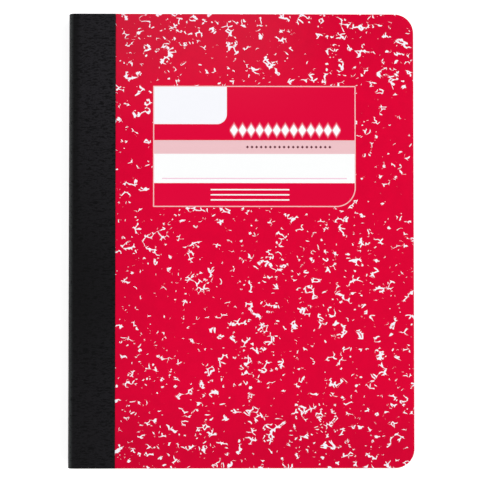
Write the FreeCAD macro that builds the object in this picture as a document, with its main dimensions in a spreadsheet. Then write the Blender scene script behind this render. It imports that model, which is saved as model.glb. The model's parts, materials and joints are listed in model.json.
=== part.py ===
import FreeCAD, Part
import math
import os
import Sketcher

# Composition notebook lying on its back cover
#
# X runs from the spine to the fore-edge, Y to the head and Z up through the thickness.
# The origin is under the middle of the notebook, on the surface it lies on.
# Each piece is drawn in a local frame whose x = 0 is the outermost line of the spine.

Vector = FreeCAD.Vector
doc = FreeCAD.newDocument("composition_notebook")

# Driving dimensions, in millimetres

dimensions = {
    "book_height": 247.65,
    "book_width": 188.5,
    "board_thickness": 0.9,
    "block_thickness": 8.6,
    "corner_radius": 10.4,
    "tape_thickness": 0.2,
    "tape_width": 25.8,
    "spine_round": 3.2,
    "spine_corner": 2.4,
    "hinge_gap": 0.8,
    "glue_line": 0.1,
    "fold_corner": 1.8,
    "leaf_bands": 9,
    "leaf_relief": 0.12,
    "thread_size": 0.5,
    "thread_clearance": 0.1,
    "thread_tail": 3.0,
    "elbow_bevel": 0.3,
    "seam_margin": 7.4,
    "stitch_slits": 19,
}
sheet = doc.addObject("Spreadsheet::Sheet", "dims")
for row, (alias, value) in enumerate(dimensions.items(), start=1):
    sheet.set(f"A{row}", alias.replace("_", " "))
    sheet.set(f"B{row}", str(value))
    sheet.setAlias(f"B{row}", alias)
doc.recompute()

# Lengths that follow from the driving ones, as expressions for the sketches and features

HALF = "(dims.tape_thickness + dims.board_thickness + dims.block_thickness / 2)"
RISE = f"({HALF} - dims.spine_corner)"
SPINE_BOW = (
    f"((dims.spine_round^2 + {RISE}^2 - dims.spine_corner^2)"
    " / (2 * (dims.spine_round - dims.spine_corner)))"
)
FOLD_START = "(dims.tape_thickness + dims.glue_line)"
FOLD_BOW = f"({SPINE_BOW} - {FOLD_START})"
FOLD_CENTRE = f"({FOLD_START} + dims.block_thickness / 2)"
LOOP_RADIUS = "(dims.thread_size + dims.thread_clearance)"
HOLE_RADIUS = "(dims.thread_size / 2 + dims.thread_clearance)"
HOLE_REACH = f"({LOOP_RADIUS} + {HOLE_RADIUS})"
SEAM_LENGTH = "(dims.book_height - 2 * (dims.seam_margin + dims.thread_tail))"


def size(alias):
    """Value of one driving dimension."""
    return float(sheet.get(alias))


# The same lengths as numbers, for what is nested or swept in code

height = size("book_height")
width = size("book_width")
half = size("tape_thickness") + size("board_thickness") + size("block_thickness") / 2
rise = half - size("spine_corner")
spine_run = size("spine_round") - size("spine_corner")
spine_bow = (size("spine_round") ** 2 + rise ** 2 - size("spine_corner") ** 2) / (2 * spine_run)
fold_start = size("tape_thickness") + size("glue_line")
fold_bow = spine_bow - fold_start
fold_centre = fold_start + size("block_thickness") / 2
loop_radius = size("thread_size") + size("thread_clearance")
hole_radius = size("thread_size") / 2 + size("thread_clearance")
seam_length = height - 2 * (size("seam_margin") + size("thread_tail"))
stitch_pitch = seam_length / (size("stitch_slits") - 1)


def new_body(name, level):
    """Body whose local origin is on the spine's outermost line, at the given level."""
    body = doc.addObject("PartDesign::Body", name)
    body.Label = name
    body.setExpression("Placement.Base.x", "-dims.book_width / 2")
    body.setExpression("Placement.Base.z", level)
    return body


def new_sketch(body, role, name):
    """Empty sketch on one of the body's origin planes."""
    sketch = body.newObject("Sketcher::SketchObject", name)
    plane = [item for item in body.Origin.OriginFeatures if item.Role == role][0]
    sketch.AttachmentSupport = [(plane, "")]
    sketch.MapMode = "FlatFace"
    return sketch


def constrain(sketch, kind, *where, driven=None):
    """One constraint, bound to an expression where one is given."""
    index = sketch.addConstraint(Sketcher.Constraint(kind, *where))
    if driven:
        sketch.setExpression(f"Constraints[{index}]", driven)


def line(x0, y0, x1, y1):
    """Straight sketch edge."""
    return Part.LineSegment(Vector(x0, y0, 0), Vector(x1, y1, 0))


def arc(x, y, radius, start, end):
    """Circular sketch edge, anticlockwise between two angles."""
    return Part.ArcOfCircle(Part.Circle(Vector(x, y, 0), Vector(0, 0, 1), radius), start, end)


def sheet_outline(body, name, near, near_rule, far, far_rule):
    """Rectangle from the near to the far line, over the full height."""
    outline = new_sketch(body, "XY_Plane", name)
    side = height / 2
    outline.addGeometry(line(near, -side, far, -side), False)
    outline.addGeometry(line(far, -side, far, side), False)
    outline.addGeometry(line(far, side, near, side), False)
    outline.addGeometry(line(near, side, near, -side), False)
    for edge in range(4):
        constrain(outline, "Coincident", edge, 2, (edge + 1) % 4, 1)
    constrain(outline, "Horizontal", 0)
    constrain(outline, "Horizontal", 2)
    constrain(outline, "Vertical", 3)
    constrain(outline, "Symmetric", 1, 1, 1, 2, -1)
    constrain(outline, "DistanceX", 0, 1, near, driven=near_rule)
    constrain(outline, "DistanceX", 1, 1, far, driven=far_rule)
    constrain(outline, "DistanceY", 1, 1, 1, 2, height, driven="dims.book_height")
    return outline


def round_fore_edge(body, base, name):
    """Rounds the two corners where the fore-edge meets the head and the tail."""
    doc.recompute()
    corners = []
    for number, edge in enumerate(base.Shape.Edges, start=1):
        upright = abs(edge.tangentAt(edge.FirstParameter).z) > 0.99
        if upright and edge.CenterOfMass.x > width - 0.01:
            corners.append(f"Edge{number}")
    fillet = body.newObject("PartDesign::Fillet", name)
    fillet.Base = (base, corners)
    fillet.setExpression("Radius", "dims.corner_radius")
    return fillet


def cover_board(name, level):
    """Pasteboard cover with rounded fore-edge corners."""
    body = new_body(name, level)
    near = size("spine_round") + size("hinge_gap")
    near_rule = "dims.spine_round + dims.hinge_gap"
    outline = sheet_outline(body, f"{name}_outline", near, near_rule, width, "dims.book_width")
    pad = body.newObject("PartDesign::Pad", f"{name}_sheet")
    pad.Profile = outline
    pad.setExpression("Length", "dims.board_thickness")
    round_fore_edge(body, pad, f"{name}_corners")
    return body


def tape_wing(name, level):
    """Flat wing of the tape, glued on the outside of a cover."""
    body = new_body(name, level)
    near = size("spine_round")
    far = size("tape_width")
    outline = sheet_outline(body, f"{name}_outline", near, "dims.spine_round", far, "dims.tape_width")
    pad = body.newObject("PartDesign::Pad", f"{name}_strip")
    pad.Profile = outline
    pad.setExpression("Length", "dims.tape_thickness")
    return body


def pad_both_ways(body, sketch, name, length):
    """Pads a profile half its length to each side of its plane."""
    pad = body.newObject("PartDesign::Pad", name)
    pad.Profile = sketch
    pad.SideType = "Symmetric"
    pad.setExpression("Length", length)
    return pad


# Covers

LOWER_BOARD = "dims.tape_thickness"
UPPER_BOARD = "dims.tape_thickness + dims.board_thickness + dims.block_thickness"
UPPER_WING = f"2 * {HALF} - dims.tape_thickness"
front_cover = cover_board("front_cover", UPPER_BOARD)
back_cover = cover_board("back_cover", LOWER_BOARD)
front_wing = tape_wing("spine_tape_front_wing", UPPER_WING)
back_wing = tape_wing("spine_tape_back_wing", "0")

# Tape round the spine: two tight turns at the fold lines and a shallow bow between them

spine_tape = new_body("spine_tape", HALF)
bend = new_sketch(spine_tape, "XZ_Plane", "spine_tape_bend")
turn_x = size("spine_round")
turn_radius = size("spine_corner")
inner_turn = turn_radius - size("tape_thickness")
inner_bow = spine_bow - size("tape_thickness")
lean = math.asin(rise / (spine_bow - turn_radius))
quarter = math.pi / 2
upper_join = math.pi - lean
lower_join = math.pi + lean
bend.addGeometry(arc(turn_x, rise, turn_radius, quarter, upper_join), False)
bend.addGeometry(arc(spine_bow, 0, spine_bow, upper_join, lower_join), False)
bend.addGeometry(arc(turn_x, -rise, turn_radius, lower_join, 3 * quarter), False)
bend.addGeometry(line(turn_x, -half, turn_x, -rise - inner_turn), False)
bend.addGeometry(arc(turn_x, -rise, inner_turn, lower_join, 3 * quarter), False)
bend.addGeometry(arc(spine_bow, 0, inner_bow, upper_join, lower_join), False)
bend.addGeometry(arc(turn_x, rise, inner_turn, quarter, upper_join), False)
bend.addGeometry(line(turn_x, rise + inner_turn, turn_x, half), False)
constrain(bend, "Tangent", 0, 2, 1, 1)
constrain(bend, "Tangent", 1, 2, 2, 1)
constrain(bend, "Tangent", 4, 1, 5, 2)
constrain(bend, "Tangent", 5, 1, 6, 2)
constrain(bend, "Coincident", 2, 2, 3, 1)
constrain(bend, "Coincident", 3, 2, 4, 2)
constrain(bend, "Coincident", 6, 1, 7, 1)
constrain(bend, "Coincident", 7, 2, 0, 1)
constrain(bend, "Coincident", 0, 3, 6, 3)
constrain(bend, "Coincident", 2, 3, 4, 3)
constrain(bend, "Coincident", 1, 3, 5, 3)
constrain(bend, "PointOnObject", 1, 3, -1)
constrain(bend, "Symmetric", 0, 3, 2, 3, -1)
constrain(bend, "Vertical", 3)
constrain(bend, "Vertical", 7)
constrain(bend, "Vertical", 0, 1, 0, 3)
constrain(bend, "Vertical", 2, 2, 2, 3)
constrain(bend, "DistanceX", 0, 3, turn_x, driven="dims.spine_round")
constrain(bend, "DistanceY", 0, 3, rise, driven=RISE)
constrain(bend, "Radius", 0, turn_radius, driven="dims.spine_corner")
constrain(bend, "Radius", 6, inner_turn, driven="dims.spine_corner - dims.tape_thickness")
constrain(bend, "Radius", 1, spine_bow, driven=SPINE_BOW)
pad_both_ways(spine_tape, bend, "spine_tape_wrap", "dims.book_height")

# Page block: sheets nested in one fold, trimmed with the covers

block_body = new_body("page_block_blank", HALF)
fold = new_sketch(block_body, "XZ_Plane", "page_block_profile")
stack = size("block_thickness") / 2
corner = size("fold_corner")
fold_lean = math.asin((stack - corner) / (fold_bow - corner))
corner_x = fold_start + fold_bow - (fold_bow - corner) * math.cos(fold_lean)
fold.addGeometry(line(width, stack, corner_x, stack), False)
fold.addGeometry(arc(corner_x, stack - corner, corner, quarter, math.pi - fold_lean), False)
fold.addGeometry(arc(spine_bow, 0, fold_bow, math.pi - fold_lean, math.pi + fold_lean), False)
fold.addGeometry(arc(corner_x, corner - stack, corner, math.pi + fold_lean, 3 * quarter), False)
fold.addGeometry(line(corner_x, -stack, width, -stack), False)
fold.addGeometry(line(width, -stack, width, stack), False)
constrain(fold, "Tangent", 0, 2, 1, 1)
constrain(fold, "Tangent", 1, 2, 2, 1)
constrain(fold, "Tangent", 2, 2, 3, 1)
constrain(fold, "Tangent", 3, 2, 4, 1)
constrain(fold, "Coincident", 4, 2, 5, 1)
constrain(fold, "Coincident", 5, 2, 0, 1)
constrain(fold, "Horizontal", 0)
constrain(fold, "Horizontal", 4)
constrain(fold, "PointOnObject", 2, 3, -1)
constrain(fold, "Symmetric", 0, 1, 4, 2, -1)
constrain(fold, "Equal", 1, 3)
constrain(fold, "Radius", 1, corner, driven="dims.fold_corner")
constrain(fold, "Radius", 2, fold_bow, driven=FOLD_BOW)
constrain(fold, "DistanceX", 2, 3, spine_bow, driven=SPINE_BOW)
constrain(fold, "DistanceX", 5, 1, width, driven="dims.book_width")
constrain(fold, "DistanceY", 5, 1, 5, 2, 2 * stack, driven="dims.block_thickness")
leaves = pad_both_ways(block_body, fold, "page_block_leaves", "dims.book_height")
trimmed = round_fore_edge(block_body, leaves, "page_block_corners")
doc.recompute()
blank_volume = trimmed.Shape.Volume

# Room for the seam: a channel inside the fold, a groove outside it and a row of needle slits

channel = new_sketch(block_body, "XZ_Plane", "seam_channel_section")
channel.addGeometry(Part.Circle(Vector(fold_centre, 0, 0), Vector(0, 0, 1), hole_radius), False)
constrain(channel, "PointOnObject", 0, 3, -1)
constrain(channel, "DistanceX", 0, 3, fold_centre, driven=FOLD_CENTRE)
constrain(channel, "Radius", 0, hole_radius, driven=HOLE_RADIUS)
channel_cut = block_body.newObject("PartDesign::Pocket", "seam_channel")
channel_cut.Profile = channel
channel_cut.SideType = "Symmetric"
channel_cut.setExpression("Length", f"{SEAM_LENGTH} + 2 * (dims.thread_tail + dims.thread_clearance)")

reach = loop_radius + hole_radius
groove_end = fold_start + size("thread_size") + 1.5 * size("thread_clearance")
groove = new_sketch(block_body, "XZ_Plane", "seam_groove_section")
groove.addGeometry(line(0, -reach, groove_end, -reach), False)
groove.addGeometry(line(groove_end, -reach, groove_end, reach), False)
groove.addGeometry(line(groove_end, reach, 0, reach), False)
groove.addGeometry(line(0, reach, 0, -reach), False)
for side in range(4):
    constrain(groove, "Coincident", side, 2, (side + 1) % 4, 1)
constrain(groove, "Horizontal", 0)
constrain(groove, "Horizontal", 2)
constrain(groove, "Vertical", 1)
constrain(groove, "PointOnObject", 3, 1, -2)
constrain(groove, "Symmetric", 3, 1, 3, 2, -1)
constrain(groove, "DistanceY", 1, 1, 1, 2, 2 * reach, driven=f"2 * {HOLE_REACH}")
GROOVE_END = f"{FOLD_START} + dims.thread_size + 1.5 * dims.thread_clearance"
constrain(groove, "DistanceX", 1, 1, groove_end, driven=GROOVE_END)
groove_cut = block_body.newObject("PartDesign::Pocket", "seam_groove")
groove_cut.Profile = groove
groove_cut.SideType = "Symmetric"
groove_cut.setExpression("Length", f"{SEAM_LENGTH} + 2 * (dims.thread_tail + dims.thread_clearance)")

slit = new_sketch(block_body, "YZ_Plane", "needle_slit_outline")
slit.setExpression("AttachmentOffset.Base.z", f"{FOLD_CENTRE} + {HOLE_REACH}")
first = -seam_length / 2
slit.addGeometry(line(first - hole_radius, -reach, first + hole_radius, -reach), False)
slit.addGeometry(line(first + hole_radius, -reach, first + hole_radius, reach), False)
slit.addGeometry(line(first + hole_radius, reach, first - hole_radius, reach), False)
slit.addGeometry(line(first - hole_radius, reach, first - hole_radius, -reach), False)
for side in range(4):
    constrain(slit, "Coincident", side, 2, (side + 1) % 4, 1)
constrain(slit, "Horizontal", 0)
constrain(slit, "Horizontal", 2)
constrain(slit, "Vertical", 1)
constrain(slit, "Symmetric", 3, 1, 3, 2, -1)
constrain(slit, "DistanceY", 1, 1, 1, 2, 2 * reach, driven=f"2 * {HOLE_REACH}")
constrain(slit, "DistanceX", 0, 1, 0, 2, 2 * hole_radius, driven=f"2 * {HOLE_RADIUS}")
SLIT_EDGE = f"{SEAM_LENGTH} / 2 - {HOLE_RADIUS}"
constrain(slit, "DistanceX", 1, 1, -1, 1, -first - hole_radius, driven=SLIT_EDGE)
doc.recompute()
one_slit = block_body.newObject("PartDesign::Pocket", "needle_slit")
one_slit.Profile = slit
one_slit.setExpression("Length", f"dims.block_thickness / 2 + {HOLE_REACH} + dims.glue_line")
doc.recompute()
one_slit_volume = groove_cut.Shape.Volume - one_slit.Shape.Volume
slits = block_body.newObject("PartDesign::LinearPattern", "needle_slits")
slits.Originals = [one_slit]
slits.Direction = (slit, ["H_Axis"])
slits.setExpression("Length", SEAM_LENGTH)
slits.setExpression("Occurrences", "dims.stitch_slits")
block_body.Tip = slits


def fold_outline(scale):
    """Closed outline of the sheets inside one nested fold, shrunk about the middle of the fold."""
    outer_x = fold_centre + scale * (corner_x - fold_centre)
    level = scale * stack
    past = width + 1
    turn = scale * corner
    edge_x = fold_centre + scale * (fold_start - fold_centre)
    slope = math.pi - fold_lean
    bow_centre = edge_x + scale * fold_bow
    join_x = bow_centre + scale * fold_bow * math.cos(slope)
    join_z = scale * fold_bow * math.sin(slope)
    middle = (math.pi / 2 + slope) / 2
    mid_x = outer_x + turn * math.cos(middle)
    mid_z = level - turn + turn * math.sin(middle)
    top = Vector(outer_x, 0, level)
    join = Vector(join_x, 0, join_z)
    low_join = Vector(join_x, 0, -join_z)
    bottom = Vector(outer_x, 0, -level)
    edges = [
        Part.LineSegment(Vector(past, 0, level), top).toShape(),
        Part.Arc(top, Vector(mid_x, 0, mid_z), join).toShape(),
        Part.Arc(join, Vector(edge_x, 0, 0), low_join).toShape(),
        Part.Arc(low_join, Vector(mid_x, 0, -mid_z), bottom).toShape(),
        Part.LineSegment(bottom, Vector(past, 0, -level)).toShape(),
        Part.LineSegment(Vector(past, 0, -level), Vector(past, 0, level)).toShape(),
    ]
    return Part.Face(Part.Wire(edges))


def leaf_gap_shape():
    """Shallow gaps between bands of leaves, along the head, the tail and the fore-edge."""
    bands = int(size("leaf_bands"))
    relief = size("leaf_relief")
    core_side = height / 2 - relief
    core = Part.makeBox(width, 2 * core_side, 2 * half, Vector(-relief, -core_side, -half))
    corner_edges = [edge for edge in core.Edges if edge.CenterOfMass.x > 1 and abs(edge.CenterOfMass.z) < 1]
    corner_edges = [edge for edge in corner_edges if edge.CenterOfMass.x > width - 1]
    corner_edges = [edge for edge in corner_edges if abs(edge.CenterOfMass.y) > 1]
    core = core.makeFillet(size("corner_radius") - relief, corner_edges)
    gaps = []
    for band in range(1, bands, 2):
        outer = fold_outline(1 - band / bands)
        inner = fold_outline(1 - (band + 1) / bands)
        ring = outer.cut(inner)
        ring.translate(Vector(0, -height / 2 - 1, 0))
        gap = ring.extrude(Vector(0, height + 2, 0)).cut(core)
        gaps.extend(gap.Solids)
    return Part.makeCompound(gaps)


leaf_gaps = doc.addObject("Part::Feature", "leaf_gaps")
leaf_gaps.Shape = leaf_gap_shape()
leaf_gaps.Placement = FreeCAD.Placement(Vector(-width / 2, 0, half), FreeCAD.Rotation())
page_block = doc.addObject("Part::Cut", "page_block")
page_block.Label = "page_block"
page_block.Base = block_body
page_block.Tool = leaf_gaps

# Bobbin thread: straight along the inside of the fold

bobbin_thread = new_body("bobbin_thread", HALF)
strand = new_sketch(bobbin_thread, "XZ_Plane", "bobbin_thread_section")
strand.addGeometry(Part.Circle(Vector(fold_centre, 0, 0), Vector(0, 0, 1), size("thread_size") / 2), False)
constrain(strand, "PointOnObject", 0, 3, -1)
constrain(strand, "DistanceX", 0, 3, fold_centre, driven=FOLD_CENTRE)
constrain(strand, "Diameter", 0, size("thread_size"), driven="dims.thread_size")
pad_both_ways(bobbin_thread, strand, "bobbin_thread_strand", f"{SEAM_LENGTH} + 2 * dims.thread_tail")


def needle_path():
    """Path of the needle thread: a slanted run outside the fold, then a loop through each slit."""
    run_x = fold_start + size("thread_size") / 2 + size("thread_clearance") / 2
    bevel = size("elbow_bevel")
    shoulder = loop_radius / 2
    turn_x = fold_centre + loop_radius * math.cos(math.pi / 6)
    first_slit = -seam_length / 2
    points = [Vector(run_x, first_slit - size("thread_tail"), loop_radius)]
    for stitch in range(int(size("stitch_slits"))):
        along = first_slit + stitch * stitch_pitch
        points.append(Vector(run_x, along - bevel, loop_radius))
        points.append(Vector(run_x + bevel, along, loop_radius))
        points.append(Vector(fold_centre, along, loop_radius))
        points.append(Vector(turn_x, along, shoulder))
        points.append(Vector(turn_x, along, -shoulder))
        points.append(Vector(fold_centre, along, -loop_radius))
        points.append(Vector(run_x + bevel, along, -loop_radius))
        points.append(Vector(run_x, along + bevel, -loop_radius))
    points.append(Vector(run_x, seam_length / 2 + size("thread_tail"), -loop_radius))
    return Part.makePolygon(points)


seam = needle_path()
strands = 8
girth = []
for strand_number in range(strands + 1):
    angle = 2 * math.pi * (strand_number % strands + 0.5) / strands
    offset = Vector(math.cos(angle), 0, math.sin(angle)) * (size("thread_size") / 2)
    girth.append(seam.Vertexes[0].Point + offset)
needle_thread = doc.addObject("Part::Feature", "needle_thread")
needle_thread.Label = "needle_thread"
needle_thread.Shape = seam.makePipeShell([Part.makePolygon(girth)], True, False, 1)
needle_thread.Placement = FreeCAD.Placement(Vector(-width / 2, 0, half), FreeCAD.Rotation())
doc.recompute()

# Checks of the build, then one file for each piece

for item in doc.Objects:
    assert not {"Invalid", "Error"} & set(item.State), f"{item.Name}: {item.State}"
    if item.TypeId == "Sketcher::SketchObject":
        assert item.FullyConstrained, f"{item.Name} is not fully constrained"

thread_area = strands / 2 * math.sin(2 * math.pi / strands) * (size("thread_size") / 2) ** 2
swept = needle_thread.Shape.Volume / (thread_area * seam.Length)
print(f"needle thread volume against section times length: {swept:.4f}")
print(f"needle slits cut {one_slit_volume:.2f} cubic mm each")
assert channel_cut.Shape.Volume < blank_volume
assert groove_cut.Shape.Volume < channel_cut.Shape.Volume
assert one_slit.Shape.Volume < groove_cut.Shape.Volume
assert slits.Shape.Volume < one_slit.Shape.Volume - 0.9 * (size("stitch_slits") - 1) * one_slit_volume
assert page_block.Shape.Volume < block_body.Shape.Volume

pieces = [
    front_cover,
    back_cover,
    spine_tape,
    front_wing,
    back_wing,
    page_block,
    needle_thread,
    bobbin_thread,
]
os.makedirs("parts", exist_ok=True)
for piece in pieces:
    shape = piece.Shape
    assert not shape.isNull() and shape.isValid() and len(shape.Solids) == 1, piece.Label
    print(f"{piece.Label}: {shape.Volume:.1f} cubic mm, {shape.BoundBox}")
for piece in pieces:
    piece.Shape.exportStep(f"parts/{piece.Label}.step")
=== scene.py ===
"""Composition notebook: marbled board covers, cloth-tape spine and a sewn block of ruled leaves.

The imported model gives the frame. X runs from the spine to the fore-edge, Y to the head and Z up to the
front cover.
"""
import json
import logging
import math
import random
from dataclasses import dataclass, field
from enum import Enum, IntEnum
from functools import reduce
from typing import Callable, Optional, Sequence, Union

import bmesh
import bpy
from mathutils import Matrix, Vector

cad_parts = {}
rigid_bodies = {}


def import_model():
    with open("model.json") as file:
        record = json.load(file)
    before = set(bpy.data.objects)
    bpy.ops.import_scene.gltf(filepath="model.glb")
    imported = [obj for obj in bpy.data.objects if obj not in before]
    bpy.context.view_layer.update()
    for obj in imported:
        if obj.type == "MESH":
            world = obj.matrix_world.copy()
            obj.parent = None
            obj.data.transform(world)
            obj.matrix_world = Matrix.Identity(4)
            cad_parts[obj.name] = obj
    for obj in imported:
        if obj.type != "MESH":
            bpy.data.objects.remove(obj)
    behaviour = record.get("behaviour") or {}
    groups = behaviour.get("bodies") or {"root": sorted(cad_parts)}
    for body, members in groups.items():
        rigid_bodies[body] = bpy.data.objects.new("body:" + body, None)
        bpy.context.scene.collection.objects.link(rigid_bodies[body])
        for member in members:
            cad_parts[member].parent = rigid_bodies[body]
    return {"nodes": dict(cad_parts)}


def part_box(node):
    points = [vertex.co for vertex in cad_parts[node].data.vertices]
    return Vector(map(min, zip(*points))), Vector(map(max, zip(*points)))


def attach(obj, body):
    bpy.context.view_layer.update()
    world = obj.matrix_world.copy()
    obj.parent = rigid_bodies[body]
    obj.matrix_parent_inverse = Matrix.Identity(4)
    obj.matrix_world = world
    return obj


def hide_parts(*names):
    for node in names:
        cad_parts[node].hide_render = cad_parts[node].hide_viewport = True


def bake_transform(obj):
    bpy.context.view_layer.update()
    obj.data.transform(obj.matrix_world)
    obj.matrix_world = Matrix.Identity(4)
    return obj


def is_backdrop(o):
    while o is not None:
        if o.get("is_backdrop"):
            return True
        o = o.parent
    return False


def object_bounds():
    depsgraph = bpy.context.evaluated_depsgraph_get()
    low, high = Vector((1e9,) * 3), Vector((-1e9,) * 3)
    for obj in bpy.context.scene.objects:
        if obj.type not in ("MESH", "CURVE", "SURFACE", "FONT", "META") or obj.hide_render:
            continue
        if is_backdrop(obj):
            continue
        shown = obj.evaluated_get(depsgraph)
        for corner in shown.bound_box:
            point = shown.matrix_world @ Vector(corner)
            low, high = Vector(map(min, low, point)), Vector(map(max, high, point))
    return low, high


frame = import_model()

log = logging.getLogger("notebook")

Socket = bpy.types.NodeSocket
Value = Union[float, Sequence[float], Socket, "Signal"]
Colour = tuple[float, float, float]

MM = 0.001
NEAR = 1e-6  # two places that are closer than this, in metres, are one place
MERGED = 1e-7  # points that are closer than this become one point
FACING = 0.9  # a face looks along an axis if its normal has more than this of it
MIDDLE_MM = 5.4  # level of the middle opening, in millimetres
REST_PLACE = "rest_place_mm"  # attribute that says where a point of a bending piece is at rest
WHITE: Colour = (1.0, 1.0, 1.0)


def ink(red: int, green: int, blue: int) -> Colour:
    """Turns a printed colour into the linear one that shaders use.

    Args:
        red: Red, 0 to 255.
        green: Green, 0 to 255.
        blue: Blue, 0 to 255.

    Returns:
        The colour in linear light.
    """
    levels = (red / 255, green / 255, blue / 255)
    return tuple(level / 12.92 if level <= 0.04045 else ((level + 0.055) / 1.055) ** 2.4 for level in levels)


class Cover(Enum):
    """The two covers, by the side of the leaves that they are on."""

    FRONT = 1
    BACK = -1

    @property
    def body(self) -> str:
        """Name of the body that the cover swings with."""
        return self.name.lower()


class BoardFace(IntEnum):
    """The three kinds of face on a cover, by their material slot."""

    PRINTED = 0
    CUT = 1
    LINED = 2


# Hand tools


class Bench:
    """Workbench for shaping one piece at a time in edit mode."""

    @staticmethod
    def clear() -> None:
        """Deselects everything."""
        if bpy.context.object and bpy.context.object.mode != "OBJECT":
            bpy.ops.object.mode_set(mode="OBJECT")
        for item in bpy.context.view_layer.objects:
            item.select_set(False)

    @staticmethod
    def take(piece: bpy.types.Object) -> None:
        """Makes one piece the selected and active one.

        Args:
            piece: The piece.
        """
        Bench.clear()
        piece.select_set(True)
        bpy.context.view_layer.objects.active = piece

    @staticmethod
    def begin(name: str, low: Vector, high: Vector) -> bpy.types.Object:
        """Adds a cube at its size and place, ready in edit mode, or a plane if it has no height.

        Args:
            name: Name of the piece.
            low: Lowest corner.
            high: Highest corner.

        Returns:
            The new object.
        """
        Bench.clear()
        size = high - low
        add = bpy.ops.mesh.primitive_cube_add if size.z else bpy.ops.mesh.primitive_plane_add
        add(size=1, location=(low + high) / 2)
        piece = bpy.context.object
        piece.name = name
        piece.data.name = name
        piece.scale = (size.x, size.y, size.z or 1)
        bpy.ops.object.transform_apply(location=True, rotation=True, scale=True)
        bpy.ops.object.mode_set(mode="EDIT")
        return piece

    @staticmethod
    def pick(piece: bpy.types.Object, kind: str, wanted: Callable[[Vector], bool]) -> None:
        """Selects parts of the mesh by place, in edit mode.

        Args:
            piece: Object in edit mode.
            kind: VERT or EDGE.
            wanted: Says of each vertex place whether it belongs. An edge needs both of its own.
        """
        bpy.ops.mesh.select_mode(type=kind)
        bpy.ops.mesh.select_all(action="DESELECT")
        mesh = bmesh.from_edit_mesh(piece.data)
        for part in mesh.verts if kind == "VERT" else mesh.edges:
            corners = [part] if kind == "VERT" else part.verts
            if all(wanted(corner.co) for corner in corners):
                part.select_set(True)
        mesh.select_flush_mode()
        bmesh.update_edit_mesh(piece.data)

    @staticmethod
    def pick_line(piece: bpy.types.Object, x: float, z: float) -> None:
        """Selects the edges that lie on one line from tail to head, in edit mode."""
        Bench.pick(piece, "EDGE", lambda spot: math.hypot(spot.x - x, spot.z - z) < NEAR)

    @staticmethod
    def merge() -> None:
        """Makes one point of points that meet, all over the piece in edit mode."""
        bpy.ops.mesh.select_all(action="SELECT")
        bpy.ops.mesh.remove_doubles(threshold=MERGED)

    @staticmethod
    def outward() -> None:
        """Turns every face of the piece in edit mode outwards and leaves edit mode."""
        bpy.ops.mesh.select_mode(type="FACE")
        bpy.ops.mesh.select_all(action="SELECT")
        bpy.ops.mesh.normals_make_consistent(inside=False)
        bpy.ops.object.mode_set(mode="OBJECT")

    @staticmethod
    def thicken(piece: bpy.types.Object, thickness: float, offset: float, even: bool = False) -> None:
        """Makes a closed solid of a sheet.

        Args:
            piece: The sheet.
            thickness: Its thickness.
            offset: -1 for a thickness behind the sheet, 0 for one on both sides.
            even: Whether bends keep the thickness.
        """
        shell = piece.modifiers.new("thickness", "SOLIDIFY")
        shell.thickness = thickness
        shell.offset = offset
        shell.use_even_offset = even
        Bench.take(piece)
        bpy.ops.object.modifier_apply(modifier=shell.name)

    @staticmethod
    def smooth(piece: bpy.types.Object, degrees: float) -> None:
        """Shades a piece smooth, apart from edges sharper than an angle."""
        Bench.take(piece)
        bpy.ops.object.shade_smooth_by_angle(angle=math.radians(degrees))

    @staticmethod
    def note_rest_place(piece: bpy.types.Object) -> None:
        """Writes on each point of a piece where it is at rest, so that a pattern bends with the piece.

        Args:
            piece: The piece, in its final shape.
        """
        places = piece.data.attributes.new(REST_PLACE, "FLOAT_VECTOR", "POINT")
        for vertex, place in zip(piece.data.vertices, places.data):
            place.vector = vertex.co / MM


# Shader building


class Signal:
    """A number that changes over a surface. Sums written with it become nodes."""

    def __init__(self, wiring: "Wiring", socket: Socket) -> None:
        """Keeps the socket that the number comes from."""
        self.wiring = wiring
        self.socket = socket

    def __add__(self, other: Value) -> "Signal":
        """Sum."""
        return self.wiring.maths("ADD", self, other)

    def __sub__(self, other: Value) -> "Signal":
        """Difference."""
        return self.wiring.maths("SUBTRACT", self, other)

    def __rsub__(self, other: Value) -> "Signal":
        """Difference from a plain number."""
        return self.wiring.maths("SUBTRACT", other, self)

    def __mul__(self, other: Value) -> "Signal":
        """Product."""
        return self.wiring.maths("MULTIPLY", self, other)

    def __truediv__(self, other: Value) -> "Signal":
        """Quotient."""
        return self.wiring.maths("DIVIDE", self, other)

    def __pow__(self, other: Value) -> "Signal":
        """Power."""
        return self.wiring.maths("POWER", self, other)

    def __abs__(self) -> "Signal":
        """Size without its sign."""
        return self.wiring.maths("ABSOLUTE", self)

    def at_most(self, other: Value) -> "Signal":
        """The smaller of two numbers."""
        return self.wiring.maths("MINIMUM", self, other)

    def at_least(self, other: Value) -> "Signal":
        """The larger of two numbers."""
        return self.wiring.maths("MAXIMUM", self, other)

    def above(self, limit: Value) -> "Signal":
        """1 where the number is over a limit, or else 0."""
        return self.wiring.maths("GREATER_THAN", self, limit)

    def below(self, limit: Value) -> "Signal":
        """1 where the number is under a limit, or else 0."""
        return self.wiring.maths("LESS_THAN", self, limit)

    def ease(self, start: Value, end: Value) -> "Signal":
        """Smooth step from 0 at start to 1 at end."""
        span = {"Value": self, "From Min": start, "From Max": end}
        return self.wiring.number("MapRange", 0, span, interpolation_type="SMOOTHSTEP", clamp=True)


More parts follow.
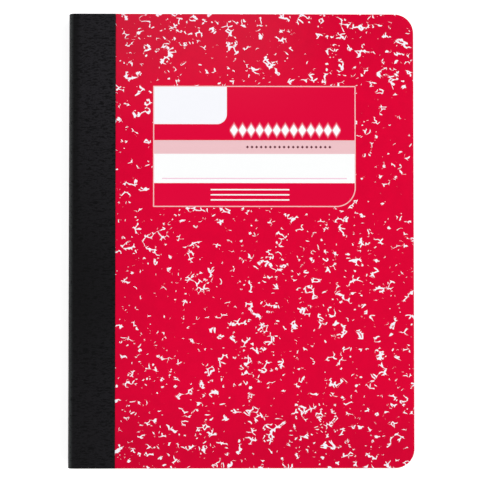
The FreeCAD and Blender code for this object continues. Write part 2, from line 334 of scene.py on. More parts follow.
class Wiring:
    """Adds and joins the nodes of one material or group."""

    def __init__(self, tree: bpy.types.NodeTree) -> None:
        """Keeps the tree that the nodes go in."""
        self.tree = tree

    def plug(self, socket: Socket, value: Value) -> None:
        """Joins an input to a socket, or sets it to a plain value.

        Args:
            socket: The input.
            value: A number, socket, vector or colour.
        """
        if isinstance(value, Signal):
            value = value.socket
        if isinstance(value, bpy.types.NodeSocket):
            self.tree.links.new(value, socket)
        elif socket.type == "RGBA":
            socket.default_value = (*value, 1.0)
        else:
            socket.default_value = value

    def node(self, kind: str, inputs: Optional[dict] = None, **settings: object) -> bpy.types.Node:
        """Adds one node.

        Args:
            kind: Blender's name for the node, without its ShaderNode prefix.
            inputs: Values or sockets for its inputs, by name or number.
            **settings: Properties of the node.

        Returns:
            The node.
        """
        made = self.tree.nodes.new(f"ShaderNode{kind}")
        for name, value in settings.items():
            setattr(made, name, value)
        for name, value in (inputs or {}).items():
            self.plug(made.inputs[name], value)
        return made

    def number(self, kind: str, output: Union[str, int], inputs: Optional[dict] = None,
               **settings: object) -> Signal:
        """Adds one node for a number that it puts out.

        Args:
            kind: Blender's name for the node, without its ShaderNode prefix.
            output: Name or number of the output.
            inputs: Values or sockets for its inputs, by name or number.
            **settings: Properties of the node.

        Returns:
            The number.
        """
        return Signal(self, self.node(kind, inputs, **settings).outputs[output])

    def maths(self, operation: str, *values: Value) -> Signal:
        """One arithmetic step on numbers."""
        return self.number("Math", 0, dict(enumerate(values)), operation=operation)

    def vectors(self, operation: str, vector: Value, other: Value) -> Socket:
        """One arithmetic step on two vectors."""
        return self.node("VectorMath", {0: vector, 1: other}, operation=operation).outputs[0]

    def scaled(self, vector: Value, factor: float) -> Socket:
        """Vector times a number."""
        return self.node("VectorMath", {0: vector, "Scale": factor}, operation="SCALE").outputs[0]

    def stretched(self, vector: Value, factors: Sequence[float]) -> Socket:
        """Vector with each axis times its own factor."""
        return self.vectors("MULTIPLY", vector, factors)

    def moved(self, vector: Value, along: Sequence[float]) -> Socket:
        """Vector plus a fixed one."""
        return self.vectors("ADD", vector, along)

    def aside(self, place: Value, shift: float) -> Socket:
        """Place so far off, in millimetres, that noise there is another one."""
        return self.moved(place, (shift, 0.7 * shift, 1.3 * shift))

    def split(self, vector: Value) -> list[Signal]:
        """The three numbers of a vector."""
        return [Signal(self, part) for part in self.node("SeparateXYZ", {"Vector": vector}).outputs]

    def place_mm(self) -> Socket:
        """Place on the piece in its own frame, in millimetres."""
        return self.scaled(self.node("TexCoord").outputs["Object"], 1 / MM)

    def carried_mm(self) -> Socket:
        """Place at rest, in millimetres, that a bending piece carries along."""
        return self.node("Attribute", attribute_name=REST_PLACE).outputs["Vector"]

    def noise(self, place: Value, scale: float, detail: float = 2.0, rough: float = 0.5) -> Signal:
        """Soft noise, with a mean of about a half."""
        settings = {"Vector": place, "Scale": scale, "Detail": detail, "Roughness": rough}
        return self.number("TexNoise", "Fac", settings)

    def drifted(self, place: Socket, scale: float, reach: float, detail: float) -> Socket:
        """Carries a place a little way off, as wet colour drifts.

        Args:
            place: Place in millimetres.
            scale: Swirls to the millimetre.
            reach: How far the swirls carry, in millimetres.
            detail: Finer swirls within them.

        Returns:
            The new place.
        """
        settings = {"Vector": place, "Scale": scale, "Detail": detail, "Roughness": 0.5}
        swirl = self.node("TexNoise", settings).outputs["Color"]
        swirl = self.vectors("SUBTRACT", swirl, (0.5, 0.5, 0.5))
        return self.vectors("ADD", place, self.scaled(swirl, reach))

    def blend(self, share: Value, under: Value, over: Value, way: str = "MIX") -> Socket:
        """Mixes two colours.

        Args:
            share: How much of the second colour shows.
            under: First colour.
            over: Second colour.
            way: How they mix.

        Returns:
            The mixed colour.
        """
        return self.node("Mix", {0: share, 6: under, 7: over}, data_type="RGBA", blend_type=way).outputs[2]

    def tinted(self, colour: Value, tone: Signal) -> Socket:
        """Colour times a tone."""
        grey = self.node("CombineColor", {"Red": tone, "Green": tone, "Blue": tone}).outputs[0]
        return self.blend(1.0, colour, grey, "MULTIPLY")


@dataclass(frozen=True)
class Ramp:
    """Slow change along a line: where it starts and ends, in millimetres, and what it comes to."""

    start: float
    end: float
    amount: float = 1.0

    def over(self, place: Signal) -> Signal:
        """The change at a place on the line."""
        change = place.ease(self.start, self.end)
        return change if self.amount == 1.0 else change * self.amount


# Effects that several finishes share


def new_group(name: str, numbers: dict[str, float], results: Sequence[str]) -> tuple:
    """Starts a node group that takes a place in millimetres and some numbers, and gives numbers.

    Args:
        name: Name of the group.
        numbers: Default of each number that it takes, by name.
        results: Name of each number that it gives.

    Returns:
        The group, its wiring, what it takes and the sockets for its results, both by name.
    """
    group = bpy.data.node_groups.new(name, "ShaderNodeTree")
    group.interface.new_socket("Place", in_out="INPUT", socket_type="NodeSocketVector")
    for label, default in numbers.items():
        socket = group.interface.new_socket(label, in_out="INPUT", socket_type="NodeSocketFloat")
        socket.default_value = default
    for label in results:
        group.interface.new_socket(label, in_out="OUTPUT", socket_type="NodeSocketFloat")
    wiring = Wiring(group)
    taken = group.nodes.new("NodeGroupInput").outputs
    given = {"Place": taken["Place"], **{label: Signal(wiring, taken[label]) for label in numbers}}
    return group, wiring, given, group.nodes.new("NodeGroupOutput").inputs


@dataclass(frozen=True)
class Veins:
    """One net of broken veins in the marble.

    Cells and patches are counted to the millimetre. A vein shows where its patch is stronger than start, and
    widens from there by growth, up to widest in millimetres on each side. Shift sets the net apart.
    """

    cells: float
    patches: float
    start: float
    growth: float
    widest: float
    shift: float


@dataclass(frozen=True)
class Marble:
    """Broken veins, dots and blots of the traditional marbled cover, with numbers as the veins have."""

    squeeze: tuple[float, float, float] = (0.86, 1.0, 1.0)
    patches: float = 0.055
    patch_swing: float = 0.2
    nets: tuple[Veins, ...] = (
        Veins(0.30, 0.21, 0.6, 4.5, 0.27, 0.0),
        Veins(0.56, 0.30, 0.69, 4.0, 0.22, 31.0),
    )
    dot_cells: float = 0.34
    dot_start: float = 0.925
    dot_growth: float = 2.4
    dot_widest: float = 0.4
    dot_shift: float = 7.0
    blot_patches: float = 0.45
    blot_start: float = 0.78
    blot_growth: float = 5.0
    blot_shift: float = 13.0

    def group(self) -> bpy.types.NodeTree:
        """Builds the pattern.

        Returns:
            A group from a place in millimetres to a mask of the unprinted flecks.
        """
        numbers = {"Cover": 0.0, "Softness": 0.05}
        group, wiring, given, result = new_group("marble_flecks", numbers, ["Flecks"])
        place = wiring.stretched(given["Place"], self.squeeze)
        bent = wiring.drifted(place, scale=0.2, reach=2.5, detail=1.0)
        bent = wiring.drifted(bent, scale=0.45, reach=1.7, detail=0.0)
        density = wiring.noise(place, self.patches, detail=1.0) * self.patch_swing - self.patch_swing / 2
        density = density + given["Cover"]

        edges = []
        for net in self.nets:
            shift = net.shift
            settings = {"Vector": wiring.aside(bent, shift), "Scale": net.cells}
            lines = wiring.number("TexVoronoi", "Distance", settings, feature="DISTANCE_TO_EDGE")
            spot = wiring.moved(place, (2 * shift + 3, shift, 3 * shift))
            patch = wiring.noise(spot, net.patches, detail=1.0)
            width = (patch + density - net.start) * net.growth
            edges.append(width.at_most(net.widest) - lines / net.cells)

        settings = {"Vector": wiring.aside(bent, self.dot_shift), "Scale": self.dot_cells}
        dots = wiring.node("TexVoronoi", settings, feature="F1")
        chance = wiring.number("SeparateColor", "Red", {"Color": dots.outputs["Color"]})
        radius = ((chance + density - self.dot_start) * self.dot_growth).at_most(self.dot_widest)
        edges.append(radius - Signal(wiring, dots.outputs["Distance"]) / self.dot_cells)

        spot = wiring.aside(place, self.blot_shift)
        blots = wiring.noise(spot, self.blot_patches, detail=1.0)
        edges.append((blots + density - self.blot_start) * self.blot_growth)

        soft = given["Softness"]
        wiring.plug(result["Flecks"], reduce(Signal.at_least, edges).ease(soft * -1.0, soft))
        return group


def rectangle_group() -> bpy.types.NodeTree:
    """Printed rectangle with its south-east corner rounded.

    Returns:
        A group from a place in millimetres to the distance from the rectangle's edge, negative inside.
    """
    sides = {"West": 0.0, "East": 1.0, "South": 0.0, "North": 1.0, "Corner": 0.0}
    group, wiring, given, result = new_group("print_field", sides, ["Distance"])
    across, up, _ = wiring.split(given["Place"])
    away_x = across - (given["West"] + given["East"]) * 0.5
    away_y = up - (given["South"] + given["North"]) * 0.5
    radius = away_x.above(0.0) * away_y.below(0.0) * given["Corner"]
    past_x = abs(away_x) - (given["East"] - given["West"]) * 0.5 + radius
    past_y = abs(away_y) - (given["North"] - given["South"]) * 0.5 + radius
    corner = (past_x.at_least(0.0) ** 2.0 + past_y.at_least(0.0) ** 2.0) ** 0.5
    inner = past_x.at_least(past_y).at_most(0.0)
    wiring.plug(result["Distance"], corner + inner - radius)
    return group


def row_group() -> bpy.types.NodeTree:
    """Printed row of small lozenges, set side by side on one level.

    Returns:
        A group from a place in millimetres to the distance from the nearest lozenge's edge.
    """
    sides = {"West": 0.0, "East": 1.0, "Level": 0.0, "Pitch": 1.0, "Half Width": 0.4, "Half Height": 0.4}
    group, wiring, given, result = new_group("print_row", sides, ["Distance"])
    pitch, half_width, half_height = given["Pitch"], given["Half Width"], given["Half Height"]
    across, up, _ = wiring.split(given["Place"])
    along = across - given["West"]
    turn = wiring.maths("FRACT", along / pitch)
    wide = abs((turn - 0.5) * pitch) / half_width
    tall = abs(up - given["Level"]) / half_height
    slope = (half_width ** -2.0 + half_height ** -2.0) ** 0.5
    lozenge = (wide + tall - 1.0) / slope
    cut = 20.0  # how sharply the row stops at its ends
    beyond = (along * -cut).at_least((across - given["East"]) * cut)
    wiring.plug(result["Distance"], lozenge.at_least(beyond))
    return group


def fibre_group() -> bpy.types.NodeTree:
    """Faint tone and tooth of paper fibres.

    Returns:
        A group from a place in millimetres to a tone about 1 and a height from 0 to 1.
    """
    group, wiring, given, result = new_group("paper_fibre", {"Depth": 0.03}, ["Tone", "Height"])
    cloud = wiring.noise(given["Place"], scale=0.16, detail=3.0, rough=0.6)
    tooth = wiring.noise(given["Place"], scale=2.6, detail=3.0, rough=0.65)
    swing = (cloud * 0.55 + tooth * 0.45 - 0.5) * given["Depth"]
    wiring.plug(result["Tone"], swing * 2.0 + 1.0)
    wiring.plug(result["Height"], tooth)
    return group


@dataclass
class Groups:
    """The effects that several finishes share, each built once."""

    marble: bpy.types.NodeTree = field(default_factory=lambda: Marble().group())
    rectangle: bpy.types.NodeTree = field(default_factory=rectangle_group)
    row: bpy.types.NodeTree = field(default_factory=row_group)
    fibre: bpy.types.NodeTree = field(default_factory=fibre_group)


# Finishes


class Coat(Wiring):
    """Wiring of a material being made, with its main shader and the shared effects."""

    def __init__(self, name: str, groups: Groups) -> None:
        """Starts the material.

        Args:
            name: Name of the material.
            groups: The shared effects.
        """
        self.material = bpy.data.materials.new(name)
        self.material.use_nodes = True
        super().__init__(self.material.node_tree)
        self.shader = self.tree.nodes["Principled BSDF"]
        self.groups = groups

    def shade(self, name: str, value: Value) -> None:
        """Sets an input of the main shader, or joins it to a socket."""
        self.plug(self.shader.inputs[name], value)

    def raised(self, height: Signal, depth_mm: float, strength: float) -> None:
        """Gives the surface a small relief.

        Args:
            height: Relief from 0 to 1.
            depth_mm: Depth of the relief.
            strength: Share of it that shows.
        """
        bump = self.node("Bump", {"Height": height, "Distance": depth_mm * MM, "Strength": strength})
        self.shade("Normal", bump.outputs[0])

    def fibres(self, place: Socket, depth: float) -> tuple[Signal, Signal]:
        """Adds the paper fibres.

        Args:
            place: Place in millimetres.
            depth: How much their tone changes.

        Returns:
            Their tone, about 1, and their height, from 0 to 1.
        """
        made = self.node("Group", {"Place": place, "Depth": depth}, node_tree=self.groups.fibre)
        return Signal(self, made.outputs["Tone"]), Signal(self, made.outputs["Height"])


@dataclass(frozen=True)
class Surface:
    """A finish and its plain shader settings."""

    name: str
    roughness: float
    specular: float
    sheen: float = 0.0

    def make(self, groups: Groups) -> bpy.types.Material:
        """Builds the material.

        Args:
            groups: The shared effects.

        Returns:
            The material.
        """
        coat = Coat(self.name, groups)
        coat.shade("Roughness", self.roughness)
        coat.shade("Specular IOR Level", self.specular)
        coat.shade("Sheen Weight", self.sheen)
        self.paint(coat)
        return coat.material

    def paint(self, coat: Coat) -> None:
        """Colours the material. Each finish has its own way."""
        raise NotImplementedError


@dataclass(frozen=True)
class Patch:
    """Printed rectangle, in millimetres from the middle of the notebook, with one corner rounded."""

    west: float
    east: float
    south: float
    north: float
    corner: float = 0.0

    def edge(self, coat: Coat, place: Socket) -> Signal:
        """Measures how far a place is from the rectangle's edge.

        Args:
            coat: The material being made.
            place: Place in millimetres.

        Returns:
            The distance, negative inside.
        """
        sides = {"West": self.west, "East": self.east, "South": self.south, "North": self.north}
        settings = {"Place": place, **sides, "Corner": self.corner}
        return coat.number("Group", "Distance", settings, node_tree=coat.groups.rectangle)


@dataclass(frozen=True)
class LozengeRow:
    """Printed row of lozenges, in millimetres from the middle of the notebook."""

    west: float
    east: float
    level: float
    count: int
    half_width: float
    half_height: float

    def edge(self, coat: Coat, place: Socket) -> Signal:
        """Measures how far a place is from the nearest lozenge's edge.

        Args:
            coat: The material being made.
            place: Place in millimetres.

        Returns:
            The distance, negative inside.
        """
        settings = {"Place": place, "West": self.west, "East": self.east, "Level": self.level,
                    "Pitch": (self.east - self.west) / self.count,
                    "Half Width": self.half_width, "Half Height": self.half_height}
        return coat.number("Group", "Distance", settings, node_tree=coat.groups.row)


@dataclass(frozen=True)
class Label:
    """Fields of colour and plain ornaments printed on the front cover."""

    whole: Patch = Patch(-47.7, 62.3, 18.45, 84.1, corner=10.3)
    panel: Patch = Patch(-47.7, -7.8, 63.4, 84.1, corner=5.5)
    band: Patch = Patch(-47.7, 62.3, 47.2, 54.6)
    writing_space: Patch = Patch(-47.7, 62.3, 31.2, 47.2)
    writing_rule: Patch = Patch(-43.1, 57.7, 33.43, 33.97)
    large_row: LozengeRow = LozengeRow(-6.2, 54.4, 60.1, 13, 2.1, 3.2)
    small_row: LozengeRow = LozengeRow(2.2, 49.7, 50.9, 19, 0.8, 0.8)
    short_rules: tuple[Patch, ...] = tuple(
        Patch(-16.6, 26.3, level - 0.34, level + 0.34) for level in (27.6, 24.8, 22.0)
    )
    outline: float = 0.27
    soft: float = 0.12
    halo_reach: float = 1.0
    halo_share: float = 0.75
    red: Colour = ink(224, 6, 58)
    pink: Colour = ink(239, 196, 201)
    white: Colour = ink(254, 255, 255)
    panel_white: Colour = ink(248, 249, 254)
    halo: Colour = ink(243, 172, 186)
    line_pink: Colour = ink(243, 199, 219)
    edge_pink: Colour = ink(247, 196, 198)
    dark: Colour = ink(92, 22, 42)

    def print_on(self, coat: Coat, place: Socket, under: Socket) -> Socket:
        """Prints the label over the marble.

        Args:
            coat: The material being made.
            place: Place in millimetres.
            under: Colour of the cover.

        Returns:
            The colour with the label on it.
        """
        whole = self.whole.edge(coat, place)
        colour = self.laid(coat, whole, under, self.red)
        for shape, tint in (
            (self.band, self.pink),
            (self.writing_space, self.white),
            (self.writing_rule, self.line_pink),
            (self.panel, self.panel_white),
        ):
            colour = self.laid(coat, shape.edge(coat, place), colour, tint)
        large = self.large_row.edge(coat, place)
        colour = coat.blend(large.ease(self.halo_reach, 0.0) * self.halo_share, colour, self.halo)
        colour = self.laid(coat, large, colour, self.white)
        colour = self.laid(coat, self.small_row.edge(coat, place), colour, self.dark)
        for rule in self.short_rules:
            colour = self.laid(coat, rule.edge(coat, place), colour, self.white)
        return self.laid(coat, abs(whole) - self.outline, colour, self.edge_pink)

    def laid(self, coat: Coat, edge: Signal, under: Socket, tint: Colour) -> Socket:
        """One colour printed over another, where the distance from an edge is negative."""
        return coat.blend(edge.ease(self.soft, -self.soft), under, tint)


@dataclass(frozen=True)
class MarbledPaper(Surface):
    """Printed cover paper with unprinted marble flecks, painted shade towards the tail, the spine and the
    head, and a painted sheen at the head.
    """

    red: Colour = ink(222, 2, 53)
    paper: Colour = ink(249, 246, 255)
    flecks: float = 0.006
    fleck_softness: float = 0.05
    head_flecks: Ramp = Ramp(74.0, 92.0, 0.028)
    upper_flecks: Ramp = Ramp(0.0, 30.0, -0.02)
    # Painted shade: these ramps darken the red towards the tail, beside the spine tape and towards the head.
    painted_tail_shade: Ramp = Ramp(-78.0, -116.0, -0.1)
    painted_hinge_shade: Ramp = Ramp(-25.0, -68.0, -0.07)
    painted_head_shade: Ramp = Ramp(75.0, 118.0, -0.075)
    # Painted sheen: a pale veil over the print at the head, towards the spine.
    painted_sheen_up: Ramp = Ramp(50.0, 120.0, 0.0095)
    painted_sheen_across: Ramp = Ramp(60.0, 0.0)
    label: Optional[Label] = None

    def paint(self, coat: Coat) -> None:
        """Prints the marble, and the label where there is one, and paints shade and a sheen over them.

        Args:
            coat: The material being made.
        """
        place = coat.place_mm()
        across, up, _ = coat.split(place)
        cover = self.head_flecks.over(up) + self.upper_flecks.over(up) + self.flecks
        settings = {"Place": place, "Cover": cover, "Softness": self.fleck_softness}
        flecks = coat.number("Group", "Flecks", settings, node_tree=coat.groups.marble)
        tone, tooth = coat.fibres(place, depth=0.16)
        # painted shade darkens the red by place
        tone = tone + (self.painted_tail_shade.over(up) + self.painted_hinge_shade.over(across) + self.painted_head_shade.over(up))
        colour = coat.blend(flecks, coat.tinted(self.red, tone), self.paper)
        if self.label:
            colour = self.label.print_on(coat, place, colour)
        # painted sheen: pale veil at the head
        painted_sheen = self.painted_sheen_up.over(up) * self.painted_sheen_across.over(across)
        coat.shade("Base Color", coat.blend(painted_sheen, colour, WHITE))
        coat.shade("Roughness", tooth * 0.16 + (self.roughness - 0.08))
        coat.raised(tooth, depth_mm=0.02, strength=0.25)


@dataclass(frozen=True)
class RawBoard(Surface):
    """Cut edge of the board: grey chip between its printed and its white paper."""

    chip: Colour = ink(178, 164, 146)
    paper: Colour = ink(244, 241, 236)
    printed: Colour = ink(206, 30, 66)
    printed_level: float = 0.0
    lining_level: float = 0.0
    lining_depth: float = 0.13
    paper_depth: float = 0.16
    ink_depth: float = 0.05
    soft: float = 0.03

    def paint(self, coat: Coat) -> None:
        """Shows the layers of the board.

        Args:
            coat: The material being made.
        """
        place = coat.place_mm()
        level = coat.split(place)[2]
        streaks = coat.noise(coat.stretched(place, (0.35, 0.35, 7.0)), scale=1.0, detail=3.0, rough=0.65)
        colour = coat.tinted(self.chip, streaks * 0.5 + 0.75)
        for middle, tint, depth in (
            (self.lining_level, self.paper, self.lining_depth),
            (self.printed_level, self.paper, self.paper_depth),
            (self.printed_level, self.printed, self.ink_depth),
        ):
            layer = abs(level - middle).ease(depth + self.soft, depth - self.soft)
            colour = coat.blend(layer, colour, tint)
        coat.shade("Base Color", colour)
        coat.raised(streaks, depth_mm=0.05, strength=0.5)


@dataclass(frozen=True)
class PlainPaper(Surface):
    """White paper: the lining of a cover."""

    white: Colour = ink(247, 245, 240)

    def paint(self, coat: Coat) -> None:
        """Shows the fibres of the paper.

        Args:
            coat: The material being made.
        """
        tone, tooth = coat.fibres(coat.place_mm(), depth=0.035)
        coat.shade("Base Color", coat.tinted(self.white, tone))
        coat.raised(tooth, depth_mm=0.02, strength=0.35)


@dataclass(frozen=True)
class RuledPaper(Surface):
    """Wide-ruled writing paper, ruled on both sides of the leaf. Its sizes are in millimetres."""

    white: Colour = ink(248, 247, 243)
    blue: Colour = ink(152, 190, 222)
    rose: Colour = ink(232, 130, 142)
    spacing: float = 8.7
    first_rule: float = 92.0
    last_rule: float = -112.0
    above_first: float = 0.5
    margin: float = 62.0
    rule_line: tuple[float, float] = (0.24, 0.1)
    margin_line: tuple[float, float] = (0.26, 0.1)

    def paint(self, coat: Coat) -> None:
        """Rules the paper.

        Args:
            coat: The material being made.
        """
        place = coat.place_mm()
        across, up, level = coat.split(place)
        tone, tooth = coat.fibres(place, depth=0.035)
        down = self.first_rule - up
        on_page = down.above(-self.above_first) * up.above(self.last_rule)
        spaces = down / self.spacing
        from_rule = abs(spaces - coat.maths("ROUND", spaces)) * self.spacing
        rules = from_rule.ease(*self.rule_line) * on_page
        colour = coat.blend(rules, coat.tinted(self.white, tone), self.blue)
        side = level.above(MIDDLE_MM) * -2.0 + 1.0
        from_margin = abs(across - side * self.margin)
        coat.shade("Base Color", coat.blend(from_margin.ease(*self.margin_line), colour, self.rose))
        coat.raised(tooth, depth_mm=0.02, strength=0.3)


@dataclass(frozen=True)
class LeafEdges(Surface):
    """Trimmed edges of many thin leaves."""

    white: Colour = ink(244, 242, 236)
    shade: Colour = ink(214, 209, 199)

    def paint(self, coat: Coat) -> None:
        """Draws the lines between the leaves.

        Args:
            coat: The material being made.
        """
        place = coat.place_mm()
        fine = coat.noise(coat.stretched(place, (0.03, 0.03, 9.0)), scale=1.0, rough=0.6)
        broad = coat.noise(coat.stretched(place, (0.02, 0.02, 1.6)), scale=1.0)
        dark = (fine * 0.6 + broad * 0.4).ease(0.54, 0.38)
        tone, _ = coat.fibres(place, depth=0.04)
        coat.shade("Base Color", coat.tinted(coat.blend(dark, self.white, self.shade), tone))
        coat.raised(fine, depth_mm=0.05, strength=0.4)


@dataclass(frozen=True)
class CrinkleTape(Surface):
    """Black cloth paper with a fine embossed crinkle, lightened by painted light towards the head and given
    a painted highlight on the rounded spine.
    """

    black: Colour = ink(1, 1, 2)
    worn: Colour = ink(22, 21, 24)
    # painted highlight: pale colour where the rounded spine catches light
    painted_spine_highlight: Colour = ink(53, 56, 56)
    deepest: float = 0.35
    # Painted light: these ramps lighten the black towards the head (away from the spine's back), towards the
    # tail and on the wing.
    painted_light_head: Ramp = Ramp(-30.0, 95.0)
    beside_spine: Ramp = Ramp(-90.2, -87.0)
    painted_light_tail: Ramp = Ramp(-30.0, -85.0, 0.35)
    painted_light_wing: Ramp = Ramp(-90.0, -68.0, 0.3)
    # where the painted highlight lies: across the spine's round, away from the middle level
    spine: Ramp = Ramp(-91.3, -93.3)
    shoulder: Ramp = Ramp(2.4, 3.8)

    def paint(self, coat: Coat) -> None:
        """Embosses the crinkle, wears the black off its tops, paints light by place and paints a highlight
        on the rounded spine.

        Args:
            coat: The material being made.
        """
        place = coat.carried_mm()
        bent = coat.drifted(place, scale=0.5, reach=1.6, detail=2.0)
        folds = coat.noise(coat.stretched(bent, (0.22, 1.0, 1.0)), scale=1.0, detail=3.0, rough=0.62)
        ridge = 1.0 - (abs(folds * 2.0 - 1.0) * 3.2).at_most(1.0)
        pits = coat.noise(coat.stretched(place, (0.9, 1.8, 1.8)), scale=1.0, detail=3.0, rough=0.6)
        relief = ridge * 0.55 + pits * 0.45
        across, up, level = coat.split(place)
        # painted light: tone by place along and across the tape
        tone = self.painted_light_head.over(up) * self.beside_spine.over(across) + self.painted_light_tail.over(up)
        tone = tone + self.painted_light_wing.over(across) + self.deepest
        colour = coat.tinted(coat.blend(relief.ease(0.32, 0.72), self.black, self.worn), tone)
        # painted highlight on the rounded spine, broken up by the crinkle
        shoulder = self.spine.over(across) * self.shoulder.over(abs(level - MIDDLE_MM))
        coat.shade("Base Color", coat.blend(shoulder * relief.ease(0.12, 0.62), colour, self.painted_spine_highlight))
        coat.shade("Roughness", pits * -0.2 + (self.roughness + 0.1))
        coat.raised(relief, depth_mm=0.16, strength=0.9)


@dataclass(frozen=True)
class SewingThread(Surface):
    """White twisted cotton."""

    cotton: Colour = ink(236, 232, 222)

    def paint(self, coat: Coat) -> None:
        """Twists the strands.

        Args:
            coat: The material being made.
        """
        settings = {"Vector": coat.place_mm(), "Scale": 1.6, "Distortion": 0.6}
        twist = coat.number("TexWave", "Fac", settings, bands_direction="DIAGONAL")
        coat.shade("Base Color", coat.tinted(self.cotton, twist * 0.22 + 0.8))
        coat.raised(twist, depth_mm=0.05, strength=0.6)


@dataclass(frozen=True)
class PaleFloor(Surface):
    """Matt pale floor that the camera sees as white."""

    grey: Colour = (0.9, 0.9, 0.9)
    glow: float = 0.45

    def paint(self, coat: Coat) -> None:
        """Lightens the floor for the camera alone.

        Args:
            coat: The material being made.
        """
        coat.shade("Base Color", self.grey)
        coat.shade("Emission Color", WHITE)
        coat.shade("Emission Strength", coat.number("LightPath", "Is Camera Ray") * self.glow)


# Sub-assemblies


@dataclass(frozen=True)
class Outline:
    """Sizes that covers, tape and leaves share."""

    corner: float = 10.4 * MM
    turn: float = 2.4 * MM

    def bow(self) -> float:
        """Radius of the spine's round between the turns at the two fold lines.

        Returns:
            The radius.
        """
        low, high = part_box("spine_tape")
        depth = high.x - low.x
        rise = (high.z - low.z) / 2 - self.turn
        return (depth ** 2 + rise ** 2 - self.turn ** 2) / (2 * (depth - self.turn))


@dataclass(frozen=True)
class FlatLayout:
    """Where the faces of a cover lie on the square map that its colours are baked to."""

    printed_at: tuple[float, float] = (0.01, 0.015)
    printed_share: float = 0.97
    lining_at: tuple[float, float] = (0.762, 0.015)
    lining_share: float = 0.23
    edges_at: tuple[float, float] = (0.765, 0.35)
    edges_share: float = 0.22
    edge_row: float = 0.05
    edge_rise: float = 8.0
    rounded: float = 0.01
    round_from: float = 0.9
    round_share: float = 2.2

    def lay_out(self, piece: bpy.types.Object, base: float) -> None:
        """Lays the printed face out large, with the lining and the cut edge beside it.

        Args:
            piece: The cover.
            base: Its lowest level.
        """
        layout = piece.data.uv_layers.new(name="OFBake")
        low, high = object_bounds()
        size = high - low
        for polygon in piece.data.polygons:
            for corner in polygon.loop_indices:
                spot = piece.data.vertices[piece.data.loops[corner].vertex_index].co - low
                if polygon.material_index == BoardFace.PRINTED:
                    start, scale = self.printed_at, self.printed_share / size.y
                elif polygon.material_index == BoardFace.LINED:
                    start, scale = self.lining_at, self.lining_share / size.x
                else:
                    rise = (spot.z + low.z - base) * self.edge_rise
                    layout.data[corner].uv = self.edge_place(polygon, spot.x / size.x, spot.y / size.y, rise)
                    continue
                layout.data[corner].uv = (start[0] + spot.x * scale, start[1] + spot.y * scale)

    def edge_place(self, polygon: bpy.types.MeshPolygon, across: float, up: float,
                   rise: float) -> tuple[float, float]:
        """Place of one corner of the cut edge, whose sides lie in rows.

        Args:
            polygon: Its face.
            across: Its part of the way from the spine to the fore-edge.
            up: Its part of the way from the tail to the head.
            rise: Its height on the map over its row.

        Returns:
            Its place on the map.
        """
        start = self.edges_at[0]
        if abs(polygon.normal.x) > FACING:
            row = 1 if polygon.normal.x > 0 else 0
            start += up * self.edges_share
        else:
            row = 2 if polygon.center.y > 0 else 4
            on_rounded_corner = polygon.normal.x > self.rounded
            if on_rounded_corner:
                row += 1
                start += (across - self.round_from) * self.round_share
            else:
                start += across * self.edges_share
        return start, self.edges_at[1] + row * self.edge_row + rise


@dataclass
class CoverBoard:
    """One cover: a board with rounded fore-edge corners, printed outside and lined inside."""

    side: Cover
    groups: Groups
    outline: Outline
    corner_steps: int = 18
    rim: float = 0.09 * MM
    rim_steps: int = 3

    def build(self) -> bpy.types.Object:
        """Builds the cover and hangs it on its body.

        Returns:
            The cover.
        """
        name = self.side.body
        low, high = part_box(f"{name}_cover")
        outside, inside = (high.z, low.z) if self.side is Cover.FRONT else (low.z, high.z)
        piece = Bench.begin(f"{name}_board", low, high)
        self.pick_upright(piece, high.x)
        bpy.ops.mesh.bevel(offset=self.outline.corner, segments=self.corner_steps, affect="EDGES")
        Bench.pick(piece, "EDGE", lambda spot: abs(spot.z - outside) < NEAR)
        bpy.ops.mesh.bevel(offset=self.rim, segments=self.rim_steps, affect="EDGES")
        Bench.outward()
        self.dress(piece, outside, inside)
        FlatLayout().lay_out(piece, low.z)
        Bench.smooth(piece, degrees=35)
        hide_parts(f"{name}_cover")
        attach(piece, name)
        return piece

    def pick_upright(self, piece: bpy.types.Object, fore_edge: float) -> None:
        """Selects the two upright edges at the fore-edge.

        Args:
            piece: The cover, in edit mode.
            fore_edge: Where its fore-edge lies.
        """
        bpy.ops.mesh.select_mode(type="EDGE")
        bpy.ops.mesh.select_all(action="DESELECT")
        mesh = bmesh.from_edit_mesh(piece.data)
        for edge in mesh.edges:
            start, end = edge.verts
            upright = abs(start.co.z - end.co.z) > NEAR
            edge.select_set(upright and start.co.x > fore_edge - NEAR)
        bmesh.update_edit_mesh(piece.data)

    def dress(self, piece: bpy.types.Object, outside: float, inside: float) -> None:
        """Gives the outside, the cut edge and the inside their papers.

        Args:
            piece: The cover.
            outside: Level of the printed face.
            inside: Level of the lining.
        """
        name = self.side.body
        label = Label() if self.side is Cover.FRONT else None
        for finish in (
            MarbledPaper(f"marbled_{name}", roughness=0.5, specular=0.03, label=label),
            RawBoard(f"cut_board_{name}", roughness=0.85, specular=0.1,
                     printed_level=outside / MM, lining_level=inside / MM),
            PlainPaper(f"lining_{name}", roughness=0.7, specular=0.15),
        ):
            piece.data.materials.append(finish.make(self.groups))
        for polygon in piece.data.polygons:
            if abs(polygon.center.z - outside) < self.rim + NEAR:
                polygon.material_index = BoardFace.PRINTED
            elif abs(polygon.normal.z) > FACING:
                polygon.material_index = BoardFace.LINED
            else:
                polygon.material_index = BoardFace.CUT


